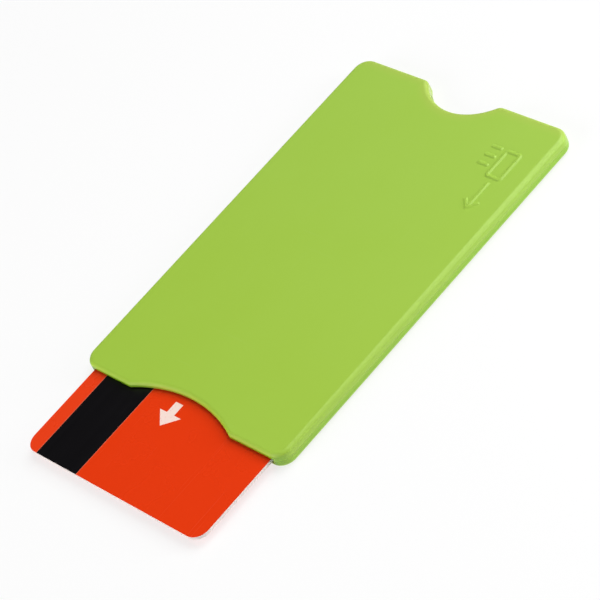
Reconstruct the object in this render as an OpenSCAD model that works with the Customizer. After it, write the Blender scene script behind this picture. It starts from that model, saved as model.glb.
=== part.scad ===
// Hard sleeve for one contactless card, with the card part way out of its mouth.
// Millimetres. The sleeve lies on its back: X is its width, Y its length with the mouth at -Y,
// and +Z points out of the front face. The origin is the middle of the back face.

/* [Card] */
// Width of the card
card_w = 53.98; // [48:0.01:66]
// Length of the card
card_l = 85.6; // [71:0.1:104]
// Thickness of the card
card_t = 0.76; // [0.7:0.01:1.2]
// Plan radius of the card's corners
card_r = 3.18; // [2:0.01:3.8]
// Length of card that stands out of the mouth at rest
card_out = 21.3; // [8:0.1:60]
// Thickness of each clear outer film
overlay_t = 0.05; // [0.04:0.01:0.08]
// Thickness of each printed sheet
print_t = 0.15; // [0.1:0.01:0.18]
// Thickness of the sheet that holds the antenna
antenna_sheet_t = 0.2; // [0.16:0.01:0.22]

/* [Magnetic stripe] */
// Distance from the card's long edge to the stripe
stripe_inset = 3.95; // [3.9:0.05:6]
// Width of the stripe
stripe_w = 12.7; // [6:0.1:14]
// Thickness of the stripe, which lies flush in the film
stripe_t = 0.02; // [0.01:0.005:0.03]

/* [Arrow on the card] */
// Length of the stamped arrow
arrow_l = 6; // [4:0.1:8]
// Width of the arrow's head
arrow_w = 6.4; // [4:0.1:8]
// Width of the arrow's shaft
arrow_shaft_w = 2.2; // [1:0.1:3]
// Distance from the card's outer end to the arrow's tip
arrow_from_end = 17.1; // [12:0.1:24]
// Sideways place of the arrow, from the card's middle
arrow_x = -1.9; // [-4:0.1:10]
// Thickness of the stamped foil, which lies flush in the film
arrow_t = 0.02; // [0.01:0.005:0.03]

/* [Chip] */
// Distance from the card's inner end to the middle of the contact plate
chip_from_end = 15.1; // [13:0.1:20]
// Distance from the stripe's long edge of the card to the middle of the plate
chip_from_edge = 23.9; // [20:0.1:27]
// Length of the contact plate
contact_l = 12.6; // [10:0.1:14]
// Width of the contact plate
contact_w = 11.4; // [9:0.1:12]
// Plan radius of the plate's corners
contact_r = 1.2; // [0.5:0.1:2]
// Gap between two contacts
contact_gap = 0.25; // [0.15:0.05:0.4]
// Thickness of the contacts
contact_t = 0.03; // [0.02:0.01:0.05]
// Thickness of the tape that carries them
tape_t = 0.1; // [0.06:0.01:0.11]
// Side of the resin block over the chip
resin_w = 8; // [6:0.1:8.5]
// Thickness of the resin block
resin_t = 0.37; // [0.3:0.01:0.38]

/* [Antenna] */
// Distance from the card's edges to the outer turn
antenna_inset = 2.6; // [1.5:0.1:4]
// Number of turns
antenna_turns = 4; // [2:1:6]
// Pitch of the turns
antenna_pitch = 0.5; // [0.3:0.05:0.6]
// Width and thickness of the wire
wire_w = 0.1; // [0.06:0.01:0.11]

/* [Sleeve] */
// Thickness of each face plate
plate_t = 1.2; // [1:0.1:2.4]
// Width of the rim beside and behind the slot
rim_w = 2.7; // [2.2:0.1:4]
// Plan radius of the sleeve's corners
corner_r = 3.3; // [2.5:0.1:6]
// Rounding of the outer edges
edge_r = 0.9; // [0.3:0.1:0.9]
// Depth that the pushed-in card lies inside the mouth
card_inset = 1.7; // [0.5:0.1:2.5]
// Side play between the card and the rim, on each side
side_play = 0.51; // [0.1:0.01:0.8]
// Height of the runners that the card's long edges slide on
runner_h = 0.3; // [0.2:0.05:0.5]
// Width of each runner
runner_w = 1.6; // [1:0.1:2.5]
// Running clearance between the card and a runner
slide_gap = 0.02; // [0.01:0.01:0.1]

/* [Seam] */
// Width of the tongue between the two shells
tongue_w = 0.8; // [0.5:0.05:0.9]
// Height of the tongue
tongue_h = 0.5; // [0.3:0.05:0.55]
// Clearance round the tongue in its groove
tongue_gap = 0.05; // [0.02:0.01:0.1]

/* [Thumb notch] */
// Radius of the notch in the closed end
notch_r = 13.4; // [11:0.1:16]
// Depth of the notch
notch_depth = 5.2; // [4.4:0.1:6.5]
// Rounding where the notch meets the end
notch_entry_r = 2; // [1:0.1:3]

/* [Mouth] */
// Radius of the thumb arc in the mouth
mouth_r = 35; // [28:0.5:45]
// Depth of the thumb arc
mouth_depth = 3.5; // [2.8:0.1:4.2]
// Rounding where the arc meets the mouth
mouth_entry_r = 1.2; // [1:0.1:2]

/* [Shield] */
// Thickness of the aluminium foil
foil_t = 0.05; // [0.03:0.01:0.1]
// Thickness of the adhesive film under the foil
adhesive_t = 0.05; // [0.03:0.01:0.1]
// Thickness of the liner that covers the foil
liner_t = 0.1; // [0.05:0.01:0.2]
// Distance from the runners and the thumb cut-outs to the shield's recess
shield_margin = 1.4; // [0.5:0.1:3]
// Clearance between the shield and the wall of its recess
shield_gap = 0.1; // [0.05:0.01:0.3]
// Plan radius of the recess
shield_r = 2; // [1:0.1:3]

/* [Raised mark] */
// Height of the raised mark on the front face
relief_h = 0.25; // [0.1:0.05:0.4]
// Width of its strokes
relief_stroke = 0.9; // [0.6:0.05:1]
// Length of the raised picture, a card and an arrow
relief_l = 16.4; // [12:0.1:18]
// Width of the picture
relief_w = 4.6; // [4:0.1:5.2]
// Distance from the sleeve's long edge to the picture's middle
relief_inset = 7.4; // [5:0.1:9]
// Distance from the closed end to the picture
relief_from_end = 9; // [6:0.1:12]
// Number of short grip bars beside the picture
bar_count = 3; // [2:1:3]
// Length of a grip bar
bar_l = 3; // [2:0.1:3.5]
// Pitch of the grip bars
bar_pitch = 2.3; // [1.8:0.1:2.6]

/* [Hidden] */
$fn = 96;

// Cuts and extrusions run this far past the faces they open
over = 0.5;
// Rounding along a thumb arc runs this many degrees past its ends
arc_overrun = 4;

// Slot and outer sizes, all from the card
slot_w = card_w + 2 * side_play;
slot_l = card_inset + card_l;
slot_h = card_t + 2 * (runner_h + slide_gap);
sleeve_w = slot_w + 2 * rim_w;
sleeve_l = slot_l + rim_w;
sleeve_t = slot_h + 2 * plate_t;
seam_z = sleeve_t / 2;
mouth_y = -sleeve_l / 2;
end_y = sleeve_l / 2;
slot_end_y = end_y - rim_w;
slot_top_z = sleeve_t - plate_t;

// Runners start behind the thumb arc and have a ramp
runner_start = mouth_depth + 0.8;
runner_ramp = 1.6;

// The rounding where a thumb arc enters overlaps the arc by this much, so that the two cross
entry_bite = 0.03;

// How far a thumb arc's centre lies beyond the centres of its two entry roundings
function arc_rise(arc_r, depth, entry_r) = arc_r - depth + entry_r;

// Half the distance between the two entry roundings of a thumb arc, to a hundredth
function entry_reach(arc_r, depth, entry_r) =
    round(100 * sqrt(pow(arc_r + entry_r - entry_bite, 2) - pow(arc_rise(arc_r, depth, entry_r), 2))) / 100;

// Angle from the X axis at which the entry rounding meets the arc
function entry_angle(arc_r, depth, entry_r) =
    atan2(arc_rise(arc_r, depth, entry_r), entry_reach(arc_r, depth, entry_r));

notch_entry_x = entry_reach(notch_r, notch_depth, notch_entry_r);
mouth_entry_x = entry_reach(mouth_r, mouth_depth, mouth_entry_r);

// The tongue follows the middle of the rim, clear of the mouth's and the notch's roundings
tongue_start = corner_r + 1;
tongue_notch_x = notch_entry_x + 1.5;

// Shield recess, between the runners and between the two thumb cut-outs
shield_depth = adhesive_t + foil_t + liner_t;
shield_recess_w = slot_w - 2 * (runner_w + shield_margin);
shield_y0 = mouth_y + mouth_depth + shield_margin;
shield_y1 = end_y - notch_depth - shield_margin;
shield_recess_l = shield_y1 - shield_y0;

// Card layers, counted from its face side, which lies down
card_z = plate_t + runner_h + slide_gap;
card_y = mouth_y - card_out + card_l / 2;
antenna_z = overlay_t + print_t;
cover_z = antenna_z + antenna_sheet_t;
back_sheet_z = card_t - overlay_t - print_t;
back_film_z = card_t - overlay_t;
chip_x = -card_w / 2 + chip_from_edge;
chip_y = card_l / 2 - chip_from_end;
resin_z = contact_t + tape_t;

// Antenna: half sizes of the outer turn, and the level of its wire
coil_x = card_w / 2 - antenna_inset;
coil_y = card_l / 2 - antenna_inset;
wire_z = cover_z - wire_w;

sleeve_green = [0.65, 0.81, 0.29];
card_orange = [0.91, 0.23, 0.06];
card_white = [0.93, 0.91, 0.89];

// Flat outlines

module rounded_rect(w, l, r) {
    square([w - 2 * r, l], center = true);
    square([w, l - 2 * r], center = true);
    for (sx = [-1, 1], sy = [-1, 1])
        translate([sx * (w / 2 - r), sy * (l / 2 - r)])
            circle(r);
}

// What is cut from a straight edge, at y = 0 with the material below it, where a thumb arc of
// radius arc_r enters: the arc itself, and the two corners that are rounded to entry_r
module thumb_cut(arc_r, depth, entry_r) {
    entry_x = entry_reach(arc_r, depth, entry_r);
    translate([0, arc_r - depth])
        circle(arc_r);
    for (side = [0, 1])
        mirror([side, 0])
            difference() {
                polygon([[entry_x, -entry_r], [entry_x, over], [0, arc_r - depth]]);
                translate([entry_x, -entry_r])
                    circle(entry_r);
            }
}

module sleeve_outline() {
    difference() {
        rounded_rect(sleeve_w, sleeve_l, corner_r);
        translate([0, end_y])
            thumb_cut(notch_r, notch_depth, notch_entry_r);
        translate([0, mouth_y])
            mirror([0, 1])
                thumb_cut(mouth_r, mouth_depth, mouth_entry_r);
    }
}

module card_outline() {
    rounded_rect(card_w, card_l, card_r);
}

// An arrow that points to -Y, with its tip at the origin
module arrow_outline(length, head_w, shaft_w) {
    head_l = head_w / 2;
    polygon([
        [0, 0],
        [head_w / 2, head_l],
        [shaft_w / 2, head_l],
        [shaft_w / 2, length],
        [-shaft_w / 2, length],
        [-shaft_w / 2, head_l],
        [-head_w / 2, head_l]
    ]);
}

// Edge rounding: cutters that run along the sleeve's outline at its top face

module edge_profile() {
    difference() {
        translate([-edge_r, -edge_r])
            square(edge_r + over);
        translate([-edge_r, -edge_r])
            circle(edge_r);
    }
}

// Along a straight edge that ends at the given point and faces the given way
module round_line(x, y, length, facing) {
    translate([x, y, 0])
        rotate([0, 0, facing])
            rotate([90, 0, 0])
                linear_extrude(length)
                    edge_profile();
}

// Round an outer corner
module round_corner(x, y, r, from, to) {
    translate([x, y, 0])
        rotate([0, 0, from])
            rotate_extrude(angle = to - from)
                translate([r, 0])
                    edge_profile();
}

// Round a thumb arc that enters a straight edge at y = 0, and its two entry roundings
module round_thumb_cut(arc_r, depth, entry_r) {
    entry_x = entry_reach(arc_r, depth, entry_r);
    angle = entry_angle(arc_r, depth, entry_r);
    half_arc = 90 - angle + arc_overrun;
    translate([0, arc_r - depth, 0])
        rotate([0, 0, 270 - half_arc])
            rotate_extrude(angle = 2 * half_arc)
                translate([arc_r, 0])
                    mirror([1, 0])
                        edge_profile();
    for (side = [0, 1])
        mirror([side, 0, 0])
            round_corner(entry_x, -entry_r, entry_r, 90, 180 - angle);
}

module edge_rounding() {
    corner_x = sleeve_w / 2 - corner_r;
    corner_y = sleeve_l / 2 - corner_r;
    for (side = [0, 1])
        mirror([side, 0, 0]) {
            round_line(corner_x, mouth_y, corner_x - mouth_entry_x, 270);
            round_corner(corner_x, -corner_y, corner_r, 270, 360);
            round_line(sleeve_w / 2, corner_y, 2 * corner_y, 0);
            round_corner(corner_x, corner_y, corner_r, 0, 90);
            round_line(notch_entry_x, end_y, corner_x - notch_entry_x, 90);
        }
    translate([0, end_y, 0])
        round_thumb_cut(notch_r, notch_depth, notch_entry_r);
    translate([0, mouth_y, 0])
        mirror([0, 1, 0])
            round_thumb_cut(mouth_r, mouth_depth, mouth_entry_r);
}

// The half of the sleeve above the seam, which both shells share

module runner(side) {
    mirror([side, 0, 0])
        translate([slot_w / 2 - runner_w, 0, 0])
            rotate([90, 0, 90])
                linear_extrude(runner_w)
                    polygon([
                        [mouth_y + runner_start, slot_top_z],
                        [mouth_y + runner_start + runner_ramp, slot_top_z - runner_h],
                        [slot_end_y, slot_top_z - runner_h],
                        [slot_end_y, slot_top_z]
                    ]);
}

module shield_place() {
    translate([0, (shield_y0 + shield_y1) / 2, 0])
        children();
}

module half_shell() {
    difference() {
        translate([0, 0, seam_z])
            linear_extrude(sleeve_t - seam_z)
                sleeve_outline();
        translate([0, 0, sleeve_t])
            edge_rounding();
        translate([-slot_w / 2, mouth_y - over, seam_z - over])
            cube([slot_w, slot_l + over, slot_top_z - seam_z + over]);
        translate([0, 0, slot_top_z - over])
            linear_extrude(shield_depth + over)
                shield_place()
                    rounded_rect(shield_recess_w, shield_recess_l, shield_r);
    }
    for (side = [0, 1])
        runner(side);
}

// The tongue's track in the rim, wider by gap on each side
module tongue_track(gap) {
    outer = (rim_w - tongue_w) / 2 - gap;
    inner = (rim_w + tongue_w) / 2 + gap;
    difference() {
        rounded_rect(sleeve_w - 2 * outer, sleeve_l - 2 * outer, corner_r - outer);
        rounded_rect(sleeve_w - 2 * inner, sleeve_l - 2 * inner, corner_r - inner);
        translate([-sleeve_w / 2, mouth_y])
            square([sleeve_w, tongue_start - gap]);
        translate([-tongue_notch_x + gap, 0])
            square([2 * (tongue_notch_x - gap), end_y]);
    }
}

// A line arrow that points to -Y, with its tip at the origin and its head at 45 degrees
module line_arrow(length, head_w, stroke) {
    reach = head_w / 2;
    step = stroke / sqrt(2);
    polygon([
        [0, 0],
        [reach, reach],
        [reach - step, reach + step],
        [0, 2 * step],
        [step - reach, reach + step],
        [-reach, reach]
    ]);
    translate([-stroke / 2, step])
        square([stroke, length - step]);
}

// A card's outline with an arrow out of it towards the mouth, and grip bars beside the card
module relief_outline() {
    picture_l = (relief_l - relief_stroke) / 2;
    translate([0, picture_l / 2 + picture_l + relief_stroke])
        difference() {
            rounded_rect(relief_w, picture_l, relief_stroke);
            square([relief_w - 2 * relief_stroke, picture_l - 2 * relief_stroke], center = true);
        }
    line_arrow(picture_l, relief_w, relief_stroke);
    for (i = [0 : bar_count - 1])
        translate([-relief_w / 2 - 1.5 * relief_stroke - bar_l, relief_l - relief_stroke - i * bar_pitch])
            square([bar_l, relief_stroke]);
}

module relief() {
    translate([sleeve_w / 2 - relief_inset, end_y - relief_from_end - relief_l, sleeve_t])
        linear_extrude(relief_h)
            relief_outline();
}

// Sleeve

module front_shell() {
    color(sleeve_green) {
        difference() {
            half_shell();
            translate([0, 0, seam_z - over])
                linear_extrude(tongue_h + tongue_gap + over)
                    tongue_track(tongue_gap);
        }
        relief();
    }
}

module back_shell() {
    color(sleeve_green) {
        translate([0, 0, sleeve_t])
            mirror([0, 0, 1])
                half_shell();
        translate([0, 0, seam_z])
            linear_extrude(tongue_h)
                tongue_track(0);
    }
}

// One layer of the shield, at a height above the bottom of its recess; up = 1 is the front plate's
module shield_layer(up, height, thickness) {
    translate([0, 0, up * sleeve_t])
        mirror([0, 0, up])
            translate([0, 0, plate_t - shield_depth + height])
                linear_extrude(thickness)
                    shield_place()
                        rounded_rect(
                            shield_recess_w - 2 * shield_gap,
                            shield_recess_l - 2 * shield_gap,
                            shield_r - shield_gap
                        );
}

module adhesive_film(up) {
    color([0.85, 0.83, 0.72])
        shield_layer(up, 0, adhesive_t);
}

module shield_foil(up) {
    color([0.80, 0.81, 0.83])
        shield_layer(up, adhesive_t, foil_t);
}

module liner(up) {
    color([0.94, 0.94, 0.95])
        shield_layer(up, adhesive_t + foil_t, liner_t);
}

// Card

module card_place() {
    translate([0, card_y, card_z])
        children();
}

module card_layer(z, thickness) {
    translate([0, 0, z])
        linear_extrude(thickness)
            card_outline();
}

module chip_place() {
    translate([chip_x, chip_y, 0])
        children();
}

// The contact plate's outline, whose length runs along the card
module contact_outline() {
    rounded_rect(contact_w, contact_l, contact_r);
}

// The space that the chip module takes from the card's face side
module chip_pocket() {
    chip_place() {
        translate([0, 0, -over])
            linear_extrude(resin_z + over)
                contact_outline();
        translate([-resin_w / 2, -resin_w / 2, 0])
            cube([resin_w, resin_w, resin_z + resin_t]);
    }
}

// A straight stretch of wire between two points of the plan, at the given height
module wire(a, b, z) {
    translate([min(a.x, b.x) - wire_w / 2, min(a.y, b.y) - wire_w / 2, z])
        cube([abs(a.x - b.x) + wire_w, abs(a.y - b.y) + wire_w, wire_w]);
}

// Corners of the rectangular spiral, four to a turn, from the outside inwards
function coil_corner(i) =
    let (turn = floor(i / 4), side = i % 4)
    [
        (side == 0 || side == 3 ? -1 : 1) * (coil_x - (side == 0 ? max(turn - 1, 0) : turn) * antenna_pitch),
        (side < 2 ? -1 : 1) * (coil_y - turn * antenna_pitch)
    ];

module coil_solid() {
    last = 4 * antenna_turns - 1;
    inner_end = coil_corner(last);
    outer_end = coil_corner(0);
    chip_side_x = chip_x - resin_w / 2 - wire_w / 2;
    inner_lead_y = chip_y + resin_w / 4;
    outer_lead_y = chip_y - resin_w / 4;
    bridge_x = outer_end.x + antenna_turns * antenna_pitch + 1;
    for (i = [0 : last - 1])
        wire(coil_corner(i), coil_corner(i + 1), wire_z);
    // The inner end turns straight to the chip
    wire(inner_end, [inner_end.x, inner_lead_y], wire_z);
    wire([inner_end.x, inner_lead_y], [chip_side_x, inner_lead_y], wire_z);
    // The outer end crosses over the turns, one wire higher
    wire(outer_end, [outer_end.x, outer_end.y], wire_z + wire_w);
    wire(outer_end, [bridge_x, outer_end.y], wire_z + wire_w);
    wire([bridge_x, outer_end.y], [bridge_x, outer_lead_y], wire_z + wire_w);
    wire([bridge_x, outer_lead_y], [chip_side_x, outer_lead_y], wire_z + wire_w);
}

module card_face_film() {
    color(card_orange)
        card_place()
            difference() {
                card_layer(0, overlay_t);
                chip_pocket();
            }
}

module card_face_sheet() {
    color(card_orange)
        card_place()
            difference() {
                card_layer(overlay_t, print_t);
                chip_pocket();
            }
}

module card_antenna_sheet() {
    color(card_white)
        card_place()
            difference() {
                card_layer(antenna_z, antenna_sheet_t);
                chip_pocket();
                coil_solid();
            }
}

module card_cover_sheet() {
    color(card_white)
        card_place()
            difference() {
                card_layer(cover_z, back_sheet_z - cover_z);
                chip_pocket();
                coil_solid();
            }
}

module card_back_sheet() {
    color(card_orange)
        card_place()
            card_layer(back_sheet_z, print_t);
}

// The stripe's outline in the card's plan
module stripe_outline() {
    intersection() {
        card_outline();
        translate([-card_w / 2 + stripe_inset, -card_l / 2])
            square([stripe_w, card_l]);
    }
}

// The stamped arrow's outline in the card's plan
module stamped_outline() {
    translate([arrow_x, -card_l / 2 + arrow_from_end])
        arrow_outline(arrow_l, arrow_w, arrow_shaft_w);
}

module card_back_film() {
    color(card_orange)
        card_place()
            difference() {
                card_layer(back_film_z, overlay_t);
                translate([-card_w / 2 + stripe_inset, -card_l / 2 - over, card_t - stripe_t])
                    cube([stripe_w, card_l + 2 * over, stripe_t + over]);
                translate([0, 0, card_t - arrow_t])
                    linear_extrude(arrow_t + over)
                        stamped_outline();
            }
}

module magnetic_stripe() {
    color([0.07, 0.06, 0.07])
        card_place()
            translate([0, 0, card_t - stripe_t])
                linear_extrude(stripe_t)
                    stripe_outline();
}

module stamped_arrow() {
    color([0.98, 0.90, 0.86])
        card_place()
            translate([0, 0, card_t - arrow_t])
                linear_extrude(arrow_t)
                    stamped_outline();
}

module antenna_coil() {
    color([0.72, 0.45, 0.20])
        card_place()
            coil_solid();
}

// Two columns of four contacts, and the ground contact between the columns
module chip_contacts() {
    column_l = contact_l / 3;
    pitch = contact_w / 4;
    color([0.83, 0.68, 0.34])
        card_place()
            chip_place()
                linear_extrude(contact_t)
                    intersection() {
                        contact_outline();
                        union() {
                            for (side = [-1, 1], row = [-1.5 : 1.5])
                                translate([row * pitch, side * column_l])
                                    square([pitch - contact_gap, column_l], center = true);
                            square([contact_w, column_l - 2 * contact_gap], center = true);
                        }
                    }
}

module chip_tape() {
    color([0.25, 0.28, 0.22])
        card_place()
            chip_place()
                translate([0, 0, contact_t])
                    linear_extrude(tape_t)
                        contact_outline();
}

module chip_resin() {
    color([0.10, 0.10, 0.11])
        card_place()
            chip_place()
                translate([-resin_w / 2, -resin_w / 2, resin_z])
                    cube([resin_w, resin_w, resin_t]);
}

front_shell();
back_shell();
adhesive_film(1);  // front_adhesive_film
shield_foil(1);  // front_shield_foil
liner(1);  // front_liner
adhesive_film(0);  // back_adhesive_film
shield_foil(0);  // back_shield_foil
liner(0);  // back_liner
card_face_film();
card_face_sheet();
card_antenna_sheet();
card_cover_sheet();
card_back_sheet();
card_back_film();
magnetic_stripe();
stamped_arrow();
antenna_coil();
chip_contacts();
chip_tape();
chip_resin();
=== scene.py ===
import math

import bmesh
import bpy
from mathutils import Matrix, Vector


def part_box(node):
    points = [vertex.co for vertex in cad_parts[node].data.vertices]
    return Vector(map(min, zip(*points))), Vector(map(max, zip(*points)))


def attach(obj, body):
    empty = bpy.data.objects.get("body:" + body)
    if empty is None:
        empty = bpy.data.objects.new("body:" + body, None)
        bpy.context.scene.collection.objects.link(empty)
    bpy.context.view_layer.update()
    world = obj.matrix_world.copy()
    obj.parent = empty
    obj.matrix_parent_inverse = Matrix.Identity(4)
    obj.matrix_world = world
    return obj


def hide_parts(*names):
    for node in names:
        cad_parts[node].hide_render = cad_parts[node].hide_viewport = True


# Looks of a hard plastic card sleeve with a card part way out of its mouth. Metres, in the frame of
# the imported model: X is the sleeve's width, Y its length with the mouth at -Y, +Z points out of the
# front face, and the origin is the middle of the back face. The two shells are modelled again here;
# the foils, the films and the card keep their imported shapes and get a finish.

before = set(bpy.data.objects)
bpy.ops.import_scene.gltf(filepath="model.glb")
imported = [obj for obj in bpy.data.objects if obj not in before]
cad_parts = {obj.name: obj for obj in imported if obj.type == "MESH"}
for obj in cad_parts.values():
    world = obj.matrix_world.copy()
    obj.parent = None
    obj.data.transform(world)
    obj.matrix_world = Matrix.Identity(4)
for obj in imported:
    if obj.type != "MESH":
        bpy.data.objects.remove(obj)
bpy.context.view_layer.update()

MM = 0.001
UP = Vector((0, 0, 1))

# Outer places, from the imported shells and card
back_low, back_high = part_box("back_shell")
front_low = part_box("front_shell")[0]
film_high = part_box("card_back_film")[1]
stripe_low, stripe_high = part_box("magnetic_stripe")
foil_low, foil_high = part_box("front_shield_foil")
CARD_MIDDLE_Z = (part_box("card_face_film")[0].z + film_high.z) / 2
SLEEVE_W = back_high.x - back_low.x
SLEEVE_L = back_high.y - back_low.y
SEAM_Z = front_low.z
SLEEVE_T = 2 * SEAM_Z
MOUTH_Y = back_low.y
END_Y = back_high.y

# Walls of the sleeve
PLATE_T = 1.2 * MM
RIM_W = 2.7 * MM
CORNER_R = 3.3 * MM
EDGE_R = 0.9 * MM
EDGE_STEPS = 12
BREAK_R = 0.06 * MM
BREAK_STEPS = 2
DRAFT = 0.1 * MM
SLOT_TOP = SLEEVE_T - PLATE_T
SLOT_HALF_W = SLEEVE_W / 2 - RIM_W
SLOT_END_Y = END_Y - RIM_W

# Thumb cut-outs: radius, depth and the rounding where each enters its end
NOTCH = (13.4 * MM, 5.2 * MM, 2 * MM)
MOUTH = (35 * MM, 3.5 * MM, 1.2 * MM)

# Inside of the shells
RUNNER_W = 1.6 * MM
RUNNER_H = 0.3 * MM
RUNNER_START_Y = MOUTH_Y + 4.3 * MM
RUNNER_RAMP = 1.6 * MM
RECESS_GAP = 0.1 * MM
RECESS_R = 2 * MM
RECESS_DEPTH = 0.2 * MM
TONGUE_W = 0.8 * MM
TONGUE_H = 0.5 * MM
TONGUE_GAP = 0.05 * MM
TONGUE_START_Y = MOUTH_Y + 4.3 * MM
TONGUE_NOTCH_X = 13 * MM

# Raised picture on the front: a card, an arrow out of it, and grip bars
MARK_W = 4.6 * MM
MARK_L = 16.4 * MM
MARK_X = SLEEVE_W / 2 - 7.4 * MM
MARK_Y = END_Y - 9 * MM - MARK_L
MARK_STROKE = 0.9 * MM
MARK_H = 0.22 * MM
MARK_FOOT = 0.12 * MM
MARK_SHOULDER = 0.44 * MM
MARK_STEPS = 8
BAR_COUNT = 3
BAR_L = 3 * MM
BAR_PITCH = 2.3 * MM
BAR_R = 0.52 * MM

# Printed dots of the card's ink screen, and yarns of the chip's tape
PRINT_DOT_PITCH = 0.17 * MM
YARN_PITCH = 0.4 * MM

# An arc is drawn with steps no wider than this angle and no longer than this
ARC_STEP_ANGLE = math.radians(5)
ARC_STEP = 0.6 * MM
# Points closer than this are one point, and a face this near to a height lies at it
SAME_PLACE = 0.0005 * MM
SAME_HEIGHT = 0.002 * MM
# Faces this close to an axis are flats, and edges sharper than this stay creases
FLAT_COS = math.cos(math.radians(1))
CREASE = math.radians(32)
# Outer edges sharper than this are broken
SHARP = math.radians(60)


# Outlines, each a list of arcs (centre x, centre y, radius, start angle, turn)

def rounded_rect(x, y, width, length, radius):
    reach_x = width / 2 - radius
    reach_y = length / 2 - radius
    sides = ((1, 1, 0), (-1, 1, 90), (-1, -1, 180), (1, -1, 270))
    return [
        (x + sx * reach_x, y + sy * reach_y, radius, math.radians(start), math.radians(90))
        for sx, sy, start in sides
    ]


def polygon(points, x=0.0, y=0.0):
    """Straight lines between points: each corner is an arc of no radius."""
    return [(x + px, y + py, 0, 0, 0) for px, py in points]


def thumb_arcs(edge_y, cut_out):
    """A thumb cut-out in the end at edge_y: entry rounding, arc, entry rounding."""
    arc_r, depth, entry_r = cut_out
    side = math.copysign(1, edge_y)
    rise = arc_r - depth + entry_r
    reach = math.sqrt((arc_r + entry_r) ** 2 - rise ** 2)
    lean = math.atan2(rise, reach)
    base = 0 if side > 0 else math.pi
    quarter = math.pi / 2
    return [
        (side * reach, edge_y - side * entry_r, entry_r, base + quarter, quarter - lean),
        (0, edge_y + side * (arc_r - depth), arc_r, base - lean, 2 * lean - math.pi),
        (-side * reach, edge_y - side * entry_r, entry_r, base + lean, quarter - lean),
    ]


def sleeve_outline():
    corners = rounded_rect(0, 0, SLEEVE_W, SLEEVE_L, CORNER_R)
    return corners[:1] + thumb_arcs(END_Y, NOTCH) + corners[1:3] + thumb_arcs(MOUTH_Y, MOUTH) + corners[3:]


def line_arrow(length, width, stroke):
    """A line arrow that points to -Y, with its tip at the origin."""
    reach = width / 2
    step = stroke / math.sqrt(2)
    half = stroke / 2
    right = [(reach, reach), (reach - step, reach + step), (half, 2 * step + half), (half, length)]
    left = [(-px, py) for px, py in reversed(right)]
    return [(0, 0)] + right + left


# Mesh steps

def ring(bm, arcs, z):
    """Draws a closed ring of edges; each arc is its first point swept round its centre."""
    ends = []
    for x, y, radius, start, turn in arcs:
        centre = Vector((x, y, z))
        first = bm.verts.new(centre + radius * Vector((math.cos(start), math.sin(start), 0)))
        last = first
        if radius > 0:
            steps = math.ceil(max(abs(turn) / ARC_STEP_ANGLE, abs(turn) * radius / ARC_STEP))
            swept = bmesh.ops.spin(bm, geom=[first], cent=centre, axis=UP, angle=turn, steps=steps)
            last = next(g for g in swept["geom_last"] if isinstance(g, bmesh.types.BMVert))
        ends.append((first, last))
    for (_, last), (first, _) in zip(ends, ends[1:] + ends[:1]):
        bm.edges.new((last, first))
    before = set(bm.verts) - connected(ends[0][0])
    loop = [v for v in bm.verts if v not in before]
    bmesh.ops.remove_doubles(bm, verts=loop, dist=SAME_PLACE)
    return [e for e in bm.edges if e.is_wire and e.verts[0] not in before]


def connected(vert):
    """The vertices of the wire that holds vert."""
    found = {vert}
    waiting = [vert]
    while waiting:
        here = waiting.pop()
        for edge in here.link_edges:
            other = edge.other_vert(here)
            if other not in found:
                found.add(other)
                waiting.append(other)
    return found


def flat(bm, arcs, z):
    """A flat face inside one outline."""
    return bmesh.ops.contextual_create(bm, geom=ring(bm, arcs, z))["faces"][0]


def push(bm, faces, shift):
    """Extrudes faces as one region and moves the new ones by shift."""
    made = bmesh.ops.extrude_face_region(bm, geom=faces)["geom"]
    verts = [g for g in made if isinstance(g, bmesh.types.BMVert)]
    bmesh.ops.translate(bm, verts=verts, vec=shift)
    return [g for g in made if isinstance(g, bmesh.types.BMFace)]


def cut(bm, faces, point, normal):
    """Cuts faces along a plane and returns all the parts."""
    edges = {e for f in faces for e in f.edges}
    verts = {v for f in faces for v in f.verts}
    made = bmesh.ops.bisect_plane(
        bm, geom=[*faces, *edges, *verts], dist=SAME_PLACE, plane_co=point, plane_no=normal
    )
    return [g for g in made["geom"] if isinstance(g, bmesh.types.BMFace)]


def soften(bm, edges, width, steps):
    """Rounds edges."""
    bmesh.ops.bevel(
        bm, geom=list(edges), offset=width, offset_type="OFFSET", segments=steps,
        profile=0.5, affect="EDGES", material=-1,
    )


def middle(face):
    """The mean of a face's corners."""
    return face.calc_center_median()


def facing(bm, direction, z):
    """The faces that look along direction at height z."""
    return [
        f for f in bm.faces
        if f.normal.dot(direction) > FLAT_COS and abs(middle(f).z - z) < SAME_HEIGHT
    ]


def imprint(bm, face, outlines):
    """Cuts rings of arcs into a flat face, and returns each ring's edges."""
    z = middle(face).z
    border = list(face.edges)
    bmesh.ops.delete(bm, geom=[face], context="FACES_ONLY")
    rings = [ring(bm, arcs, z) for arcs in outlines]
    bmesh.ops.triangle_fill(bm, edges=border + sum(rings, []), use_beauty=True)
    return rings


def fill(bm, edges):
    """Closes a ring of edges with a face."""
    return bmesh.ops.contextual_create(bm, geom=edges)["faces"]


def swell(bm, faces, height, width, steps):
    """Raises faces with a flared foot and a rounded shoulder, in insets that take up width."""
    done = 0.0
    for step in range(1, steps + 1):
        level = height * (1 - math.cos(math.pi * step / steps)) / 2
        bmesh.ops.inset_region(
            bm, faces=faces, thickness=width / steps, depth=level - done,
            use_even_offset=True, use_boundary=True,
        )
        done = level


def shade(bm):
    """Flats shade flat, roundings smooth, and corners stay creased."""
    bm.normal_update()
    for face in bm.faces:
        face.smooth = max(abs(c) for c in face.normal) < FLAT_COS
    for edge in bm.edges:
        edge.smooth = edge.calc_face_angle(math.pi) < CREASE


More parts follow.
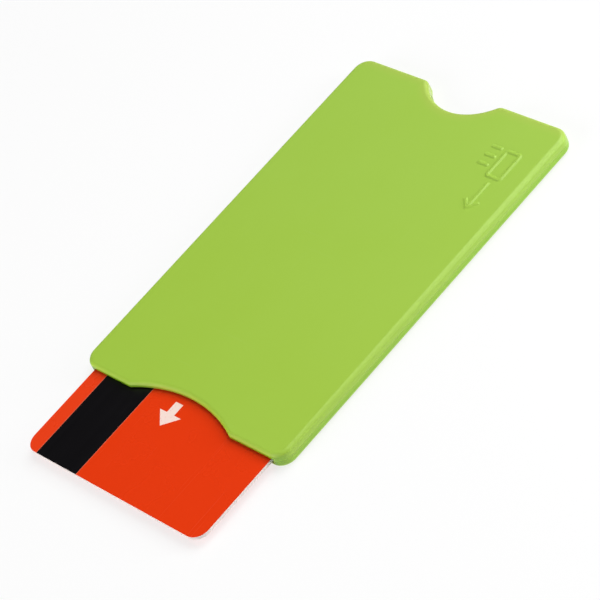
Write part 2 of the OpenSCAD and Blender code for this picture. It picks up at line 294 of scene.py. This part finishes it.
def piece(name, bm, material, body, node):
    """Makes the mesh an object that rides on a body and stands for a node."""
    mesh = bpy.data.meshes.new(name)
    bm.to_mesh(mesh)
    bm.free()
    mesh.materials.append(material)
    made = bpy.data.objects.new(name, mesh)
    bpy.context.scene.collection.objects.link(made)
    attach(made, body)
    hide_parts(node)


# Sleeve

def runners(bm, faces):
    """Two ramped runners on the slot's ceiling."""
    for side in (-1, 1):
        strip = [f for f in faces if side * middle(f).x > SLOT_HALF_W - RUNNER_W]
        for y in (RUNNER_START_Y, RUNNER_START_Y + RUNNER_RAMP):
            strip = cut(bm, strip, (0, y, 0), (0, 1, 0))
        raised = push(bm, [f for f in strip if middle(f).y > RUNNER_START_Y], -RUNNER_H * UP)
        front = {v for f in raised for v in f.verts if v.co.y < RUNNER_START_Y + SAME_PLACE}
        bmesh.ops.translate(bm, verts=list(front), vec=RUNNER_H * UP)
    bmesh.ops.remove_doubles(bm, verts=bm.verts[:], dist=SAME_PLACE)


def seam_track(bm, gap, depth):
    """A strip along the middle of the rim's seam face, pushed in for a groove or out for a tongue."""
    strips = facing(bm, -UP, SEAM_Z)
    strips = cut(bm, strips, (0, TONGUE_START_Y, 0), (0, 1, 0))
    for side in (-1, 1):
        strips = cut(bm, strips, (side * TONGUE_NOTCH_X, 0, 0), (1, 0, 0))
    track = [f for f in strips if middle(f).y > TONGUE_START_Y and abs(middle(f).x) > TONGUE_NOTCH_X]
    margin = (RIM_W - TONGUE_W) / 2 - BREAK_R - gap
    bmesh.ops.inset_region(bm, faces=track, thickness=margin, use_even_offset=True, use_boundary=True)
    push(bm, track, depth * UP)


def shield_recess(bm):
    """The shallow pocket for the shield in the slot's ceiling."""
    ceiling = max(facing(bm, -UP, SLOT_TOP), key=lambda f: f.calc_area())
    width = foil_high.x - foil_low.x + 2 * RECESS_GAP
    length = foil_high.y - foil_low.y + 2 * RECESS_GAP
    outline = rounded_rect(0, (foil_low.y + foil_high.y) / 2, width, length, RECESS_R)
    edges, = imprint(bm, ceiling, [outline])
    push(bm, fill(bm, edges), RECESS_DEPTH * UP)


def half_shell(gap, depth):
    """The front half of the sleeve, plate up: outline, rim, runners, roundings, seam and recess."""
    bm = bmesh.new()
    plate = flat(bm, sleeve_outline(), SLOT_TOP)
    push(bm, [plate], PLATE_T * UP)
    bmesh.ops.recalc_face_normals(bm, faces=bm.faces[:])

    top_edges = [e for e in bm.edges if min(v.co.z for v in e.verts) > SLEEVE_T - SAME_PLACE]
    soften(bm, top_edges, EDGE_R, EDGE_STEPS)

    under = facing(bm, -UP, SLOT_TOP)
    for side in (-1, 1):
        under = cut(bm, under, (side * SLOT_HALF_W, 0, 0), (1, 0, 0))
    slot = [f for f in under if abs(middle(f).x) < SLOT_HALF_W]
    rim = [f for f in under if f not in slot]
    slot = cut(bm, slot, (0, SLOT_END_Y, 0), (0, 1, 0))
    rim += [f for f in slot if middle(f).y > SLOT_END_Y]
    slot = [f for f in slot if f not in rim]
    push(bm, rim, (SEAM_Z - SLOT_TOP) * UP)

    for side in (-1, 1):
        slot = cut(bm, slot, (side * (SLOT_HALF_W - RUNNER_W), 0, 0), (1, 0, 0))
    runners(bm, slot)

    bmesh.ops.recalc_face_normals(bm, faces=bm.faces[:])
    sharp = [e for e in bm.edges if e.is_convex and e.calc_face_angle(0) > SHARP]
    soften(bm, sharp, BREAK_R, BREAK_STEPS)
    seam_track(bm, gap, depth)
    shield_recess(bm)
    bmesh.ops.recalc_face_normals(bm, faces=bm.faces[:])
    return bm


def draw_in(bm):
    """Draft: the walls lean in from the seam to the plates."""
    for vert in bm.verts:
        lean = DRAFT * abs(vert.co.z - SEAM_Z) / SEAM_Z
        vert.co.x *= 1 - 2 * lean / SLEEVE_W
        vert.co.y *= 1 - 2 * lean / SLEEVE_L


def raised_picture(bm):
    """The raised card outline, arrow and grip bars on the front face."""
    foot = MARK_FOOT
    stroke = MARK_STROKE + 2 * foot
    half_l = (MARK_L - MARK_STROKE) / 2
    card_y = MARK_Y + MARK_L - half_l / 2
    card_ring = [
        rounded_rect(MARK_X, card_y, MARK_W + 2 * foot, half_l + 2 * foot, MARK_STROKE + foot),
        rounded_rect(
            MARK_X, card_y, MARK_W - 2 * MARK_STROKE - 2 * foot, half_l - 2 * MARK_STROKE - 2 * foot, foot
        ),
    ]
    arrow = polygon(line_arrow(half_l + 2 * foot, MARK_W + 2 * foot, stroke), MARK_X, MARK_Y - foot)
    bar_x = MARK_X - MARK_W / 2 - MARK_STROKE - BAR_L / 2
    bars = [
        rounded_rect(
            bar_x, MARK_Y + MARK_L - MARK_STROKE / 2 - i * BAR_PITCH, BAR_L + 2 * foot, stroke, BAR_R
        )
        for i in range(BAR_COUNT)
    ]
    face = max(facing(bm, UP, SLEEVE_T), key=lambda f: f.calc_area())
    rings = imprint(bm, face, card_ring + [arrow] + bars)
    raised = bmesh.ops.bridge_loops(bm, edges=rings[0] + rings[1])["faces"]
    for edges in rings[2:]:
        raised += fill(bm, edges)
    bmesh.ops.recalc_face_normals(bm, faces=bm.faces[:])
    swell(bm, raised, MARK_H, MARK_SHOULDER, MARK_STEPS)


def front_shell(material):
    bm = half_shell(TONGUE_GAP, TONGUE_H + TONGUE_GAP)
    raised_picture(bm)
    draw_in(bm)
    shade(bm)
    piece("front_shell_moulding", bm, material, "sleeve", "front_shell")


def back_shell(material):
    bm = half_shell(0, -TONGUE_H)
    turned = Matrix.Translation((0, 0, SLEEVE_T)) @ Matrix.Scale(-1, 4, UP)
    bmesh.ops.transform(bm, matrix=turned, verts=bm.verts[:])
    bmesh.ops.reverse_faces(bm, faces=bm.faces[:])
    draw_in(bm)
    shade(bm)
    piece("back_shell_moulding", bm, material, "sleeve", "back_shell")


# Finishes

class Value:
    """One output socket of a node tree. Arithmetic on it adds Math nodes."""

    def __init__(self, nodes, socket):
        self.nodes = nodes
        self.socket = socket

    def combine(self, operation, first, second=0.0):
        return self.nodes.node("ShaderNodeMath", {0: first, 1: second}, operation=operation)

    def __add__(self, other):
        return self.combine("ADD", self, other)

    def __radd__(self, other):
        return self.combine("ADD", other, self)

    def __sub__(self, other):
        return self.combine("SUBTRACT", self, other)

    def __rsub__(self, other):
        return self.combine("SUBTRACT", other, self)

    def __mul__(self, other):
        return self.combine("MULTIPLY", self, other)

    def __rmul__(self, other):
        return self.combine("MULTIPLY", other, self)

    def __abs__(self):
        return self.combine("ABSOLUTE", self)

    def sine(self):
        return self.combine("SINE", self)

    def most(self, other):
        return self.combine("MAXIMUM", self, other)

    def least(self, other):
        return self.combine("MINIMUM", self, other)

    def root(self):
        return self.combine("POWER", self, 0.5)

    def above(self, level):
        return self.combine("GREATER_THAN", self, level)

    def sign(self):
        return self.combine("SIGN", self)


class Nodes:
    """A node tree, built one node at a time."""

    def __init__(self, tree):
        self.tree = tree
        tree.nodes.clear()

    def node(self, kind, sockets=None, output=0, **settings):
        """Adds a node: its settings first, then the values or links of its sockets."""
        made = self.tree.nodes.new(kind)
        for name, value in settings.items():
            setattr(made, name, value)
        for name, value in (sockets or {}).items():
            if isinstance(value, Value):
                self.tree.links.new(value.socket, made.inputs[name])
            else:
                made.inputs[name].default_value = value
        return Value(self, made.outputs[output] if len(made.outputs) else None)

    def axis(self, vector, name):
        return self.node("ShaderNodeSeparateXYZ", {"Vector": vector}, output=name)

    def ramp(self, value, low, high):
        """0 where value is low, 1 where it is high, and smooth between."""
        sockets = {"Value": value, "From Min": low, "From Max": high}
        return self.node("ShaderNodeMapRange", sockets, interpolation_type="SMOOTHSTEP")

    def ray(self, kind):
        """1 for rays of this kind."""
        return self.node("ShaderNodeLightPath", output=kind)


class Finish(Nodes):
    """A material whose patterns lie in the object's own coordinates."""

    def __init__(self, name):
        self.material = bpy.data.materials.new(name)
        self.material.use_nodes = True
        super().__init__(self.material.node_tree)
        self.place = self.node("ShaderNodeTexCoord", output="Object")
        self.x, self.y, self.z = (self.axis(self.place, name) for name in "XYZ")

    def noise(self, scale, detail=2.0, roughness=0.5, stretch=(1, 1, 1)):
        """Cloudy noise from 0 to 1, scale in features a metre; stretch squeezes each axis."""
        place = self.node("ShaderNodeVectorMath", {0: self.place, 1: stretch}, operation="MULTIPLY")
        sockets = {"Vector": place, "Scale": scale, "Detail": detail, "Roughness": roughness}
        return self.node("ShaderNodeTexNoise", sockets)

    def specks(self, scale, size):
        """1 inside round specks, one to a cell; size is their share of a cell."""
        sockets = {"Vector": self.place, "Scale": scale}
        distance = self.node("ShaderNodeTexVoronoi", sockets, output="Distance")
        return 1 - self.ramp(distance, size * 0.5, size)

    def hairlines(self, scale, amount, along="Y"):
        """Fine scratches along an axis: 1 on a scratch; amount is how much is scratched."""
        squeeze = 0.02
        threshold = 0.74 - amount
        stretch = (1, squeeze, 1) if along == "Y" else (squeeze, 1, 1)
        return self.ramp(self.noise(scale, 2, stretch=stretch), threshold, threshold + 0.06)

    def blend(self, factor, first, second):
        """A colour from first to second."""
        sockets = {0: factor, 6: first, 7: second}
        return self.node("ShaderNodeMix", sockets, output=2, data_type="RGBA")

    def bump(self, height, distance, under=None):
        """A normal from a height of 0 to 1 that stands for distance, over another bump."""
        sockets = {"Height": height, "Distance": distance}
        if under:
            sockets["Normal"] = under
        return self.node("ShaderNodeBump", sockets)

    def facing_z(self):
        """How far the surface looks along Z, from -1 to 1."""
        return self.axis(self.node("ShaderNodeTexCoord", output="Normal"), "Z")

    def principled(self, sockets):
        return self.show(self.node("ShaderNodeBsdfPrincipled", sockets))

    def show(self, shader):
        self.node("ShaderNodeOutputMaterial", {"Surface": shader})
        return self.material


def colour(red, green, blue):
    return (red, green, blue, 1)


def by_cut_out(finish, edge_y, cut_out, reach):
    """1 at a thumb cut-out's arc, fading to 0 at reach from it."""
    arc_r, depth, _ = cut_out
    dy = finish.y - (edge_y + math.copysign(arc_r - depth, edge_y))
    distance = (finish.x * finish.x + dy * dy).root()
    return 1 - finish.ramp(distance, arc_r, arc_r + reach)


def sleeve_plastic():
    """Moulded ABS, light green and satin: painted glow at thin rims, painted shade low on its glossier
    walls.
    """
    finish = Finish("sleeve_plastic")

    # Nearly one green over the plates, with painted shading: a touch darker and bluer toward the closed end
    cloud = finish.noise(60, 4)
    near = finish.blend(cloud, colour(0.353, 0.568, 0.044), colour(0.364, 0.580, 0.052))
    far = finish.blend(cloud, colour(0.343, 0.563, 0.053), colour(0.353, 0.575, 0.065))
    base = finish.blend(finish.ramp(finish.y, MOUTH_Y, END_Y), near, far)

    # 1 on the walls, and fading out over their roundings
    facing_up = finish.facing_z()
    wall = (1 - finish.ramp(facing_up, 0.1, 0.5)) * finish.ramp(facing_up, -0.3, -0.05)

    # Painted glow: paler at the rim of the closed end and round its notch, as light shining through the thin
    # plastic
    glow_reach = 3 * MM
    at_notch = by_cut_out(finish, END_Y, NOTCH, glow_reach)
    at_end = finish.ramp(finish.y, END_Y - glow_reach, END_Y)
    end_rim_glow = at_notch.most(at_end * (1 - wall))
    base = finish.blend(end_rim_glow * 0.6, base, colour(0.430, 0.550, 0.085))

    # Painted highlight: a brighter, yellower green in the rounding of the mouth
    at_lip = 1 - finish.ramp(finish.y, MOUTH_Y, MOUTH_Y + EDGE_R)
    at_mouth = by_cut_out(finish, MOUTH_Y, MOUTH, EDGE_R).most(at_lip)
    rounding = finish.ramp(facing_up, 0.1, 0.4) * (1 - finish.ramp(facing_up, 0.9, 1))
    base = finish.blend(at_mouth * rounding, base, colour(0.46, 0.74, 0.025))

    # Painted shade: darker low on the walls and at the corners of the mouth
    low = 1 - finish.ramp(finish.z, 0.3 * MM, SEAM_Z + 0.5 * MM)
    corner = 1 - finish.ramp(finish.y, MOUTH_Y, MOUTH_Y + CORNER_R)
    painted_shade = wall * low.most(corner) * (1 - at_notch)
    base = finish.blend(painted_shade, base, colour(0.230, 0.470, 0.010))

    # Rubbed along and across on the flats, and glossier walls
    scuff = finish.hairlines(2600, 0.04).most(finish.hairlines(2200, 0.03, "X")) * (1 - wall)
    base = finish.blend(scuff * 0.06, base, colour(0.52, 0.70, 0.26))
    skin = finish.noise(3200, 2)
    wave = finish.noise(140, 2)
    rough = 0.47 + 0.05 * skin + 0.06 * wave + 0.06 * scuff - 0.30 * wall
    flow = finish.bump(wave * (1 - 0.7 * wall), 0.006 * MM)
    normal = finish.bump(skin * (1 - 0.85 * wall), 0.0012 * MM, flow)
    sockets = {"Base Color": base, "Roughness": rough, "Normal": normal, "Specular IOR Level": 0.6}
    return finish.principled(sockets)


def back_of_card(finish):
    """1 on the half of the card that holds the stripe."""
    return finish.z.above(CARD_MIDDLE_Z)


def card_print(finish):
    """The orange print on a card face: flat ink with a very fine dot screen, lighter beyond the stripe."""
    dot_turn = 2 * math.pi / PRINT_DOT_PITCH
    screen = (finish.x * dot_turn).sine() * (finish.y * dot_turn).sine() * 0.5 + 0.5
    ink = finish.blend(screen, colour(0.790, 0.0405, 0.0030), colour(0.815, 0.0425, 0.0035))
    beyond = 1 - finish.ramp(finish.x, stripe_low.x - 0.3 * MM, stripe_low.x)
    ink = finish.blend(beyond * back_of_card(finish), ink, colour(0.85, 0.053, 0.0095))
    return finish.blend(finish.noise(90, 3) * 0.3, ink, colour(0.83, 0.046, 0.005))


def printed_sheet():
    """White sheet with its ink on the outer face only; its cut sides and inner face stay white."""
    finish = Finish("printed_sheet")
    side_of_card = (finish.z - CARD_MIDDLE_Z).sign()
    inked = finish.ramp(finish.facing_z() * side_of_card, 0.4, 0.6)
    grain = finish.noise(1800, 3)
    bare = finish.blend(grain, colour(0.84, 0.75, 0.71), colour(0.89, 0.81, 0.77))
    base = finish.blend(inked, bare, card_print(finish))
    normal = finish.bump(grain, 0.0006 * MM)
    return finish.principled({"Base Color": base, "Roughness": 0.42 + 0.12 * grain, "Normal": normal})


def laminate_film():
    """Clear gloss film on the print: the ink shows through its faces, its cut side is milky."""
    finish = Finish("laminate_film")
    flat_face = finish.ramp(abs(finish.facing_z()), 0.5, 0.8)
    milky = finish.blend(finish.noise(1500, 2), colour(0.86, 0.58, 0.51), colour(0.92, 0.66, 0.59))
    scratch = finish.hairlines(2400, 0.05)
    stripe_middle = (stripe_low.x + stripe_high.x) / 2
    stripe_half_w = (stripe_high.x - stripe_low.x) / 2
    from_stripe_edge = abs(abs(finish.x - stripe_middle) - stripe_half_w)
    halo = 1 - finish.ramp(from_stripe_edge, 0.05 * MM, 0.18 * MM)
    seen = finish.blend(scratch * 0.02, card_print(finish), colour(0.85, 0.25, 0.18))
    seen = finish.blend(halo * back_of_card(finish) * 0.4, seen, colour(0.72, 0.34, 0.22))
    base = finish.blend(flat_face, milky, seen)
    haze = finish.noise(120, 3)
    rough = 0.24 + 0.06 * haze + 0.14 * scratch
    normal = finish.bump(finish.noise(420, 2), 0.0003 * MM)
    sockets = {"Base Color": base, "Roughness": rough, "Normal": normal, "Specular IOR Level": 0.25}
    return finish.principled(sockets)


def magnetic_tape():
    """Black oxide tape: streaks along its length, reader scratches and a dull gloss."""
    finish = Finish("magnetic_tape")
    streak = finish.noise(1500, 3, stretch=(1, 0.03, 1))
    scratch = finish.hairlines(4200, 0.07)
    base = finish.blend(streak, colour(0.0016, 0.0012, 0.0018), colour(0.0036, 0.0030, 0.0042))
    base = finish.blend(scratch * 0.15, base, colour(0.03, 0.028, 0.032))
    rough = 0.26 + 0.10 * streak + 0.10 * scratch
    normal = finish.bump(streak, 0.0015 * MM)
    sockets = {"Base Color": base, "Roughness": rough, "Normal": normal, "Specular IOR Level": 0.3}
    return finish.principled(sockets)


def stamping_foil():
    """Hot-stamped white: nearly opaque, with a fine open grain that lets a little ink through."""
    finish = Finish("stamping_foil")
    grain = finish.noise(2600, 3)
    opened = finish.specks(1700, 0.24)
    base = finish.blend(grain, colour(0.96, 0.73, 0.65), colour(1.0, 0.80, 0.73))
    base = finish.blend(opened * 0.45, base, colour(0.86, 0.28, 0.18))
    normal = finish.bump(grain, 0.002 * MM)
    return finish.principled({"Base Color": base, "Roughness": 0.34 + 0.14 * grain, "Normal": normal})


def core_sheet():
    """White core plastic with a calendered grain and a few dark specks."""
    finish = Finish("core_sheet")
    grain = finish.noise(900, 4, stretch=(1, 0.3, 1))
    base = finish.blend(grain, colour(0.78, 0.72, 0.69), colour(0.86, 0.81, 0.78))
    base = finish.blend(finish.specks(420, 0.05) * 0.6, base, colour(0.40, 0.36, 0.32))
    normal = finish.bump(grain, 0.001 * MM)
    return finish.principled({"Base Color": base, "Roughness": 0.45 + 0.15 * grain, "Normal": normal})


def shield_foil():
    """Rolled aluminium foil: rolling lines along its length, soft wrinkles, dull patches."""
    finish = Finish("shield_foil")
    rolled = finish.noise(2600, 3, stretch=(1, 0.015, 1))
    wrinkle = finish.noise(110, 4, 0.6)
    base = finish.blend(rolled, colour(0.78, 0.79, 0.81), colour(0.91, 0.92, 0.92))
    rough = 0.20 + 0.14 * rolled + 0.12 * finish.noise(45, 2)
    crease = finish.bump(wrinkle, 0.12 * MM)
    normal = finish.bump(rolled, 0.002 * MM, crease)
    return finish.principled({"Base Color": base, "Roughness": rough, "Metallic": 1.0, "Normal": normal})


def adhesive_film():
    """Transfer glue: pale amber, mottled where it wetted out, with small trapped bubbles."""
    finish = Finish("adhesive_film")
    wet = finish.noise(260, 4)
    bubble = finish.specks(700, 0.22)
    base = finish.blend(wet, colour(0.62, 0.50, 0.26), colour(0.78, 0.69, 0.44))
    base = finish.blend(bubble * 0.5, base, colour(0.88, 0.84, 0.70))
    rough = 0.32 + 0.25 * wet
    normal = finish.bump(bubble, 0.01 * MM, finish.bump(wet, 0.02 * MM))
    return finish.principled({"Base Color": base, "Roughness": rough, "Normal": normal})


def liner_film():
    """Polyester liner: cool pale grey, slip streaks along the card's way, a fine matt emboss."""
    finish = Finish("liner_film")
    slip = finish.noise(1100, 3, stretch=(1, 0.02, 1))
    emboss = finish.specks(1600, 0.55)
    base = finish.blend(slip, colour(0.72, 0.73, 0.76), colour(0.84, 0.85, 0.87))
    base = finish.blend(finish.hairlines(3000, 0.08) * 0.3, base, colour(0.93, 0.93, 0.94))
    rough = 0.26 + 0.16 * slip
    normal = finish.bump(emboss, 0.004 * MM)
    return finish.principled({"Base Color": base, "Roughness": rough, "Normal": normal})


def antenna_wire():
    """Enamelled copper wire: clear red-brown lacquer, brighter where the drawing marks show."""
    finish = Finish("antenna_wire")
    drawn = finish.noise(5200, 3)
    heat = finish.noise(160, 2)
    base = finish.blend(drawn, colour(0.60, 0.24, 0.11), colour(0.82, 0.40, 0.22))
    base = finish.blend(heat * 0.3, base, colour(0.48, 0.15, 0.07))
    rough = 0.22 + 0.16 * drawn
    normal = finish.bump(drawn, 0.002 * MM)
    sockets = {"Base Color": base, "Roughness": rough, "Metallic": 1.0, "Normal": normal, "Coat Weight": 0.6}
    return finish.principled(sockets)


def contact_gold():
    """Plated contacts: brushed under the gold, with wear tracks where reader pins slide."""
    finish = Finish("contact_gold")
    brushed = finish.noise(6000, 3, stretch=(1, 0.04, 1))
    track = finish.hairlines(7000, 0.1)
    base = finish.blend(brushed, colour(0.80, 0.53, 0.19), colour(0.93, 0.68, 0.30))
    base = finish.blend(track * 0.4, base, colour(0.96, 0.84, 0.60))
    rough = 0.22 + 0.14 * brushed + 0.12 * track
    normal = finish.bump(brushed, 0.0015 * MM)
    return finish.principled({"Base Color": base, "Roughness": rough, "Metallic": 1.0, "Normal": normal})


def module_tape():
    """Glass-epoxy tape: a plain weave of fine yarns under olive resin."""
    finish = Finish("module_tape")
    yarn_turn = 2 * math.pi / YARN_PITCH
    warp = (finish.x * yarn_turn).sine() * 0.5 + 0.5
    weft = (finish.y * yarn_turn).sine() * 0.5 + 0.5
    weave = warp * (1 - weft) + weft * (1 - warp)
    base = finish.blend(weave, colour(0.075, 0.070, 0.026), colour(0.19, 0.17, 0.075))
    base = finish.blend(finish.noise(900, 3) * 0.4, base, colour(0.10, 0.11, 0.045))
    normal = finish.bump(weave, 0.008 * MM)
    return finish.principled({"Base Color": base, "Roughness": 0.38 + 0.2 * weave, "Normal": normal})


def module_resin():
    """Black glob resin: fine filler specks and a slightly pebbled skin."""
    finish = Finish("module_resin")
    pebble = finish.noise(1500, 3)
    base = finish.blend(pebble, colour(0.007, 0.007, 0.008), colour(0.016, 0.016, 0.018))
    base = finish.blend(finish.specks(2400, 0.2) * 0.4, base, colour(0.07, 0.07, 0.07))
    normal = finish.bump(pebble, 0.012 * MM)
    return finish.principled({"Base Color": base, "Roughness": 0.34 + 0.2 * pebble, "Normal": normal})


# Camera, floor and light

CAMERA_AIM = Vector((1.348, -11.070, 0)) * MM
CAMERA_AZIMUTH = math.radians(65.865)
CAMERA_ELEVATION = math.radians(41.225)
CAMERA_ROLL = math.radians(-31.49)
CAMERA_DISTANCE = 601.3 * MM
PHOTO_SIDE_PX = 600
FOCAL_PX = 3025.9
FLOOR_HALF = 6.0
FLOOR_Z = -0.02 * MM
# Share of the floor's look that is plain white; the rest is paper that takes the shadow
FLOOR_WHITE = 0.75
SKY_LIGHT = 0.06
# The white backdrop ends at this height of a mirrored ray, and the dark ceiling starts above it
BACKDROP_TOP = 0.0
CEILING_START = 0.1


def make_camera():
    data = bpy.data.cameras.new("camera")
    data.sensor_width = 36
    data.lens = FOCAL_PX / PHOTO_SIDE_PX * data.sensor_width
    data.clip_start = 10 * MM
    data.clip_end = 20
    camera = bpy.data.objects.new("camera", data)
    bpy.context.scene.collection.objects.link(camera)
    back = Vector((
        math.sin(CAMERA_AZIMUTH) * math.cos(CAMERA_ELEVATION),
        -math.cos(CAMERA_AZIMUTH) * math.cos(CAMERA_ELEVATION),
        math.sin(CAMERA_ELEVATION),
    ))
    turn = back.to_track_quat("Z", "Y").to_matrix().to_4x4() @ Matrix.Rotation(CAMERA_ROLL, 4, "Z")
    camera.matrix_world = Matrix.Translation(CAMERA_AIM + back * CAMERA_DISTANCE) @ turn
    bpy.context.scene.camera = camera


def make_floor():
    """A wide white floor that keeps a soft shadow, and is clear from below and to the under lamp."""
    bm = bmesh.new()
    bmesh.ops.create_grid(bm, x_segments=1, y_segments=1, size=FLOOR_HALF)
    bmesh.ops.translate(bm, verts=bm.verts[:], vec=(0, 0, FLOOR_Z))
    mesh = bpy.data.meshes.new("floor")
    bm.to_mesh(mesh)
    bm.free()
    floor = bpy.data.objects.new("floor", mesh)
    bpy.context.scene.collection.objects.link(floor)
    finish = Finish("floor_paper")
    paper = finish.node("ShaderNodeBsdfDiffuse", {"Color": colour(0.93, 0.93, 0.93)})
    white = finish.node("ShaderNodeEmission", {"Color": colour(1, 1, 1), "Strength": 1.0})
    seen = finish.ray("Is Camera Ray") + finish.ray("Is Glossy Ray") + finish.ray("Is Transmission Ray")
    lit = finish.node("ShaderNodeMixShader", {0: seen.least(1) * FLOOR_WHITE, 1: paper, 2: white})
    clear = finish.node("ShaderNodeBsdfTransparent", {"Color": colour(1, 1, 1)})
    behind = finish.node("ShaderNodeNewGeometry", output="Backfacing")
    open_to = behind.most(finish.ray("Is Shadow Ray"))
    mesh.materials.append(finish.show(finish.node("ShaderNodeMixShader", {0: open_to, 1: lit, 2: clear})))


def make_world():
    """A dim room with a white backdrop round it, which gloss shows too, and a dark ceiling."""
    world = bpy.data.worlds.new("studio")
    world.use_nodes = True
    bpy.context.scene.world = world
    nodes = Nodes(world.node_tree)
    height = nodes.axis(nodes.node("ShaderNodeTexCoord", output="Generated"), "Z")
    backdrop = 1 - nodes.ramp(height, BACKDROP_TOP, CEILING_START)
    mirrored = (nodes.ray("Is Glossy Ray") + nodes.ray("Is Transmission Ray")).least(1)
    white = (nodes.ray("Is Camera Ray") + mirrored * backdrop).least(1)
    strength = white * (1 - SKY_LIGHT) + SKY_LIGHT
    sky = nodes.node("ShaderNodeBackground", {"Color": colour(1, 1, 1), "Strength": strength})
    nodes.node("ShaderNodeOutputWorld", {"Surface": sky})


def soft_lamp(name, *, direction, distance, size, level):
    """A square lamp that looks at the sleeve from direction, level bright on a surface facing it."""
    data = bpy.data.lights.new(name, "AREA")
    data.size = size
    data.energy = level * (math.pi * distance) ** 2
    lamp = bpy.data.objects.new(name, data)
    bpy.context.scene.collection.objects.link(lamp)
    aim = Vector(direction).normalized()
    lamp.matrix_world = Matrix.Translation(aim * distance) @ aim.to_track_quat("Z", "Y").to_matrix().to_4x4()


make_camera()
make_floor()
make_world()
soft_lamp("key", direction=(0.15, 0.58, 0.80), distance=1.0, size=0.88, level=1.03)
soft_lamp("fill", direction=(-0.25, -0.86, 0.30), distance=0.7, size=0.6, level=0.74)
soft_lamp("side", direction=(0.77, 0.55, 0.30), distance=0.36, size=0.14, level=0.44)
soft_lamp("under", direction=(0, 0, -1), distance=0.7, size=0.5, level=0.45)

sleeve_material = sleeve_plastic()
front_shell(sleeve_material)
back_shell(sleeve_material)

nodes_of = {
    adhesive_film: ("front_adhesive_film", "back_adhesive_film"),
    shield_foil: ("front_shield_foil", "back_shield_foil"),
    liner_film: ("front_liner", "back_liner"),
    laminate_film: ("card_face_film", "card_back_film"),
    printed_sheet: ("card_face_sheet", "card_back_sheet"),
    core_sheet: ("card_antenna_sheet", "card_cover_sheet"),
    magnetic_tape: ("magnetic_stripe",),
    stamping_foil: ("stamped_arrow",),
    antenna_wire: ("antenna_coil",),
    contact_gold: ("chip_contacts",),
    module_tape: ("chip_tape",),
    module_resin: ("chip_resin",),
}
for make_finish, names in nodes_of.items():
    material = make_finish()
    for name in names:
        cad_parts[name].material_slots[0].material = material

bpy.context.scene.view_settings.view_transform = "Standard"
